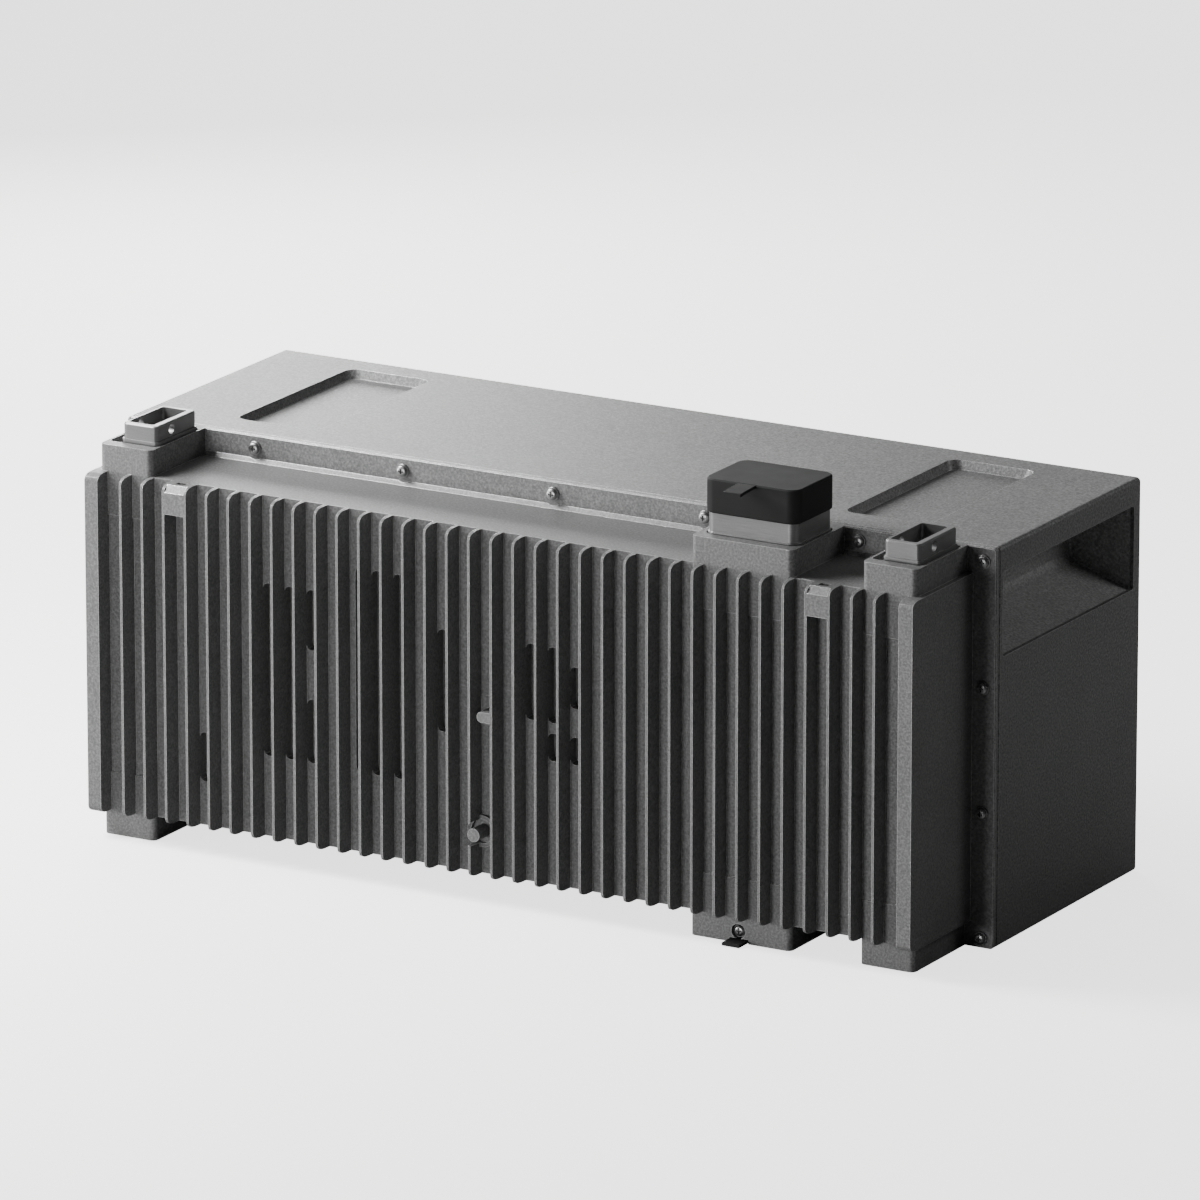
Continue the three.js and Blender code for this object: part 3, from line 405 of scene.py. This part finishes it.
def make_materials():
    return {
        "casting": coated_metal("casting", 0.16, 0.85),
        "cover": coated_metal("cover", 0.16, 1.1),
        # cup: the cover's powder coat painted paler, painted light standing in for the light that
        # falls into the grips
        "cup": coated_metal("cup", 0.36, 0.9),
        "collar": machined_metal("collar", 0.2),
        "connector_plastic": moulded_plastic("connector_plastic", 0.025),
        "contact": plated_metal("contact", (0.75, 0.55, 0.25, 1)),
        "cap_rubber": soft_rubber("cap_rubber", 0.021),
        "seal": soft_rubber("seal", 0.02),
        "screw": plated_metal("screw", grey(0.36), 0.34),
        "steel": plated_metal("steel", grey(0.5)),
        "cell": wrapped("cell", (0.03, 0.10, 0.25, 1)),
        "busbar": plated_metal("busbar", grey(0.7)),
        "board": circuit_board("board"),
        "pad": soft_rubber("pad", 0.35, 0.8),
        "fuse": moulded_plastic("fuse", 0.7, 0.25),
        "cable_red": soft_rubber("cable_red", 0.1),
        "cable_black": soft_rubber("cable_black", 0.03),
    }


# ---------------------------------------------------------------- mesh helpers


def add_object(name, mesh, body, material):
    piece = bpy.data.objects.new(name, mesh)
    bpy.context.scene.collection.objects.link(piece)
    mesh.materials.clear()
    mesh.materials.append(material)
    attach(piece, body)
    return piece


def mesh_from(work, name):
    mesh = bpy.data.meshes.new(name)
    work.to_mesh(mesh)
    work.free()
    return mesh


def bake_modifiers(piece):
    graph = bpy.context.evaluated_depsgraph_get()
    shown = piece.evaluated_get(graph)
    final = bpy.data.meshes.new_from_object(shown, preserve_all_data_layers=True, depsgraph=graph)
    piece.modifiers.clear()
    piece.data = final


def clean_copy(node):
    """The node's mesh with shared corners joined and flat stretches merged into convex faces."""
    work = bmesh.new()
    work.from_mesh(frame["nodes"][node].data)
    bmesh.ops.remove_doubles(work, verts=work.verts, dist=MERGE_DISTANCE)
    bmesh.ops.dissolve_limit(work, angle_limit=FLAT_ANGLE, verts=work.verts, edges=work.edges)
    bmesh.ops.connect_verts_concave(work, faces=work.faces)
    return work


def mark_edges(work, raised, hollow):
    """Writes how far each edge is rounded, and returns the wider of the two."""
    layer = work.edges.layers.float.new("bevel_weight_edge")
    widest = max(raised, hollow)
    for edge in work.edges:
        if len(edge.link_faces) == 2 and edge.calc_face_angle(0) > SHARP_ANGLE:
            edge[layer] = (raised if edge.is_convex else hollow) / widest
    return widest


def round_edges(piece, width):
    bevel = piece.modifiers.new("rounding", "BEVEL")
    bevel.limit_method = "WEIGHT"
    bevel.width = width
    bevel.segments = ROUNDING_SEGMENTS
    bevel.miter_outer = "MITER_ARC"
    piece.data.shade_smooth()
    weighted = piece.modifiers.new("shading", "WEIGHTED_NORMAL")
    weighted.keep_sharp = True
    weighted.weight = SHADING_WEIGHT
    bake_modifiers(piece)


def lean_recess_walls(work, top):
    """Draws in the floors of the two recesses in the top, so that their walls slope."""
    level = top - RECESS_FLOOR_DEPTH
    flat = [vert for vert in work.verts if abs(vert.co.z - level) < RECESS_FLOOR_TOLERANCE]
    for side in (-1, 1):
        floor = [vert for vert in flat if vert.co.x * side > 0]
        low = Vector((min(vert.co.x for vert in floor), min(vert.co.y for vert in floor)))
        high = Vector((max(vert.co.x for vert in floor), max(vert.co.y for vert in floor)))
        middle = (low + high) / 2
        half = (high - low) / 2
        for vert in floor:
            vert.co.x = middle.x + (vert.co.x - middle.x) * (1 - RECESS_WALL_LEAN / half.x)
            vert.co.y = middle.y + (vert.co.y - middle.y) * (1 - RECESS_WALL_LEAN / half.y)


def refined(node, body, material, raised, hollow):
    """A copy of a CAD node with rounded edges, which stands for it."""
    work = clean_copy(node)
    if node == "rear_cover":
        lean_recess_walls(work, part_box(node)[1].z)
    width = mark_edges(work, raised, hollow)
    piece = add_object(node + "_fine", mesh_from(work, node + "_fine"), body, material)
    round_edges(piece, width)
    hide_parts(node)


# ---------------------------------------------------------------- screws


def ring_of_verts(work, radius, height):
    if radius == 0:
        return [work.verts.new((0, 0, height))]
    angles = [2 * math.pi * step / TURNED_SIDES for step in range(TURNED_SIDES)]
    points = [(radius * math.cos(angle), radius * math.sin(angle), height) for angle in angles]
    return [work.verts.new(point) for point in points]


def join_rings(work, lower, upper):
    for step in range(TURNED_SIDES):
        after = (step + 1) % TURNED_SIDES
        corners = [lower[step % len(lower)], lower[after % len(lower)]]
        corners += [upper[after % len(upper)], upper[step % len(upper)]]
        work.faces.new(list(dict.fromkeys(corners)))


def turned_body(profile):
    """A body of revolution about Z from (radius, height) pairs that start and end on the axis."""
    work = bmesh.new()
    rings = [ring_of_verts(work, radius, height) for radius, height in profile]
    for lower, upper in zip(rings, rings[1:]):
        join_rings(work, lower, upper)
    bmesh.ops.recalc_face_normals(work, faces=work.faces)
    return work


def cross_cutter(top):
    """A plus-shaped plug that narrows downward, for a cross recess in a head of that height."""
    work = bmesh.new()
    arm = CROSS_WIDTH / 2
    reach = CROSS_REACH
    corners = [(arm, -reach), (arm, -arm), (reach, -arm), (reach, arm), (arm, arm), (arm, reach)]
    outline = corners + [(-x, -y) for x, y in corners]
    roof = top + CROSS_PROUD
    base = roof - CROSS_DEPTH
    upper = [work.verts.new((x, y, roof)) for x, y in outline]
    lower = [work.verts.new((x * CROSS_TAPER, y * CROSS_TAPER, base)) for x, y in outline]
    work.faces.new(upper)
    work.faces.new(list(reversed(lower)))
    count = len(outline)
    for step in range(count):
        after = (step + 1) % count
        work.faces.new((upper[after], upper[step], lower[step], lower[after]))
    bmesh.ops.recalc_face_normals(work, faces=work.faces)
    return mesh_from(work, "cross_cutter")


def carve(piece, cutter_mesh):
    """Takes the cutter's shape out of the piece."""
    cutter = bpy.data.objects.new("cutter", cutter_mesh)
    bpy.context.scene.collection.objects.link(cutter)
    cutter.matrix_world = piece.matrix_world
    boolean = piece.modifiers.new("carve", "BOOLEAN")
    boolean.operation = "DIFFERENCE"
    boolean.object = cutter
    boolean.solver = "EXACT"
    bake_modifiers(piece)
    bpy.data.objects.remove(cutter)


def shank_profile(radius, end):
    return [(0, end), (radius, end), (radius, 0)]


def washer_profile():
    return [
        (WASHER_RADIUS, 0),
        (WASHER_RADIUS, WASHER_THICKNESS - EDGE_BREAK),
        (WASHER_RADIUS - EDGE_BREAK, WASHER_THICKNESS),
    ]


def pan_head(radius, base, height):
    """Profile of a pan head: a short straight side, then a dome."""
    side = base + (height - base) * HEAD_SIDE_SHARE
    dome = []
    for step in range(1, DOME_STEPS):
        angle = math.radians(90 * step / DOME_STEPS)
        across = radius * (DOME_FLAT_SHARE + (1 - DOME_FLAT_SHARE) * math.cos(angle))
        dome.append((across, side + (height - side) * math.sin(angle)))
    foot = [(radius * HEAD_FOOT_SHARE, base), (radius, base + EDGE_BREAK), (radius, side)]
    return foot + dome + [(0, height)]


def make_screw(node, material, profile):
    """A cross-recessed screw in place of a CAD one, with its head toward -Y."""
    low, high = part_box(node)
    work = turned_body(profile)
    for face in work.faces:
        face.smooth = True
    name = node + "_fine"
    piece = add_object(name, mesh_from(work, name), MODULE, material)
    top = profile[-1][1]
    carve(piece, cross_cutter(top))
    turn = Matrix.Rotation(math.radians(90), 4, "X")
    middle = (low + high) / 2
    place = Matrix.Translation((middle.x, low.y + top, middle.z))
    piece.data.transform(place @ turn)
    piece.data.set_sharp_from_angle(angle=SCREW_SHARP_ANGLE)
    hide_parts(node)


def length_of(node):
    low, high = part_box(node)
    return high.y - low.y


def make_screws(material):
    flange_bolts = [node for node in sorted(frame["nodes"]) if node.startswith("flange_bolt")]
    for node in flange_bolts:
        profile = shank_profile(SHANK_RADIUS, SCREW_HEIGHT - length_of(node))
        profile += washer_profile() + pan_head(SCREW_HEAD_RADIUS, WASHER_THICKNESS, SCREW_HEIGHT)
        make_screw(node, material, profile)
    lock = "connector_lock_screw"
    profile = shank_profile(LOCK_SHANK_RADIUS, LOCK_HEAD_DEPTH - length_of(lock))
    profile += pan_head(LOCK_HEAD_RADIUS, 0, LOCK_HEAD_DEPTH)
    make_screw(lock, material, profile)


# ---------------------------------------------------------------- scene


def dress(node, material):
    """A CAD node that stays as it is, with a better material."""
    piece = frame["nodes"][node]
    piece.data.materials.clear()
    piece.data.materials.append(material)


def make_pieces(looks):
    for node, body, look, slot, raised, hollow in REFINED:
        refined(node, body, looks[look], raised * MM, hollow * MM)
    make_screws(looks["screw"])
    done = {name for name, node in frame["nodes"].items() if node.hide_render}
    for row in frame["record"]["subparts"]:
        if row["node"] not in done:
            slot = row["material_slot"]
            dress(row["node"], looks[slot])


def make_floor(material):
    mesh = bpy.data.meshes.new("floor")
    size = FLOOR_HALF_WIDTH
    corners = [(-size, -size, 0), (size, -size, 0), (size, size, 0), (-size, size, 0)]
    mesh.from_pydata(corners, [], [(0, 1, 2, 3)])
    floor = bpy.data.objects.new("floor", mesh)
    floor.location.z = -FLOOR_DROP
    mesh.materials.append(material)
    bpy.context.scene.collection.objects.link(floor)


make_camera()
make_studio()
make_floor(pale_floor("floor"))
make_pieces(make_materials())
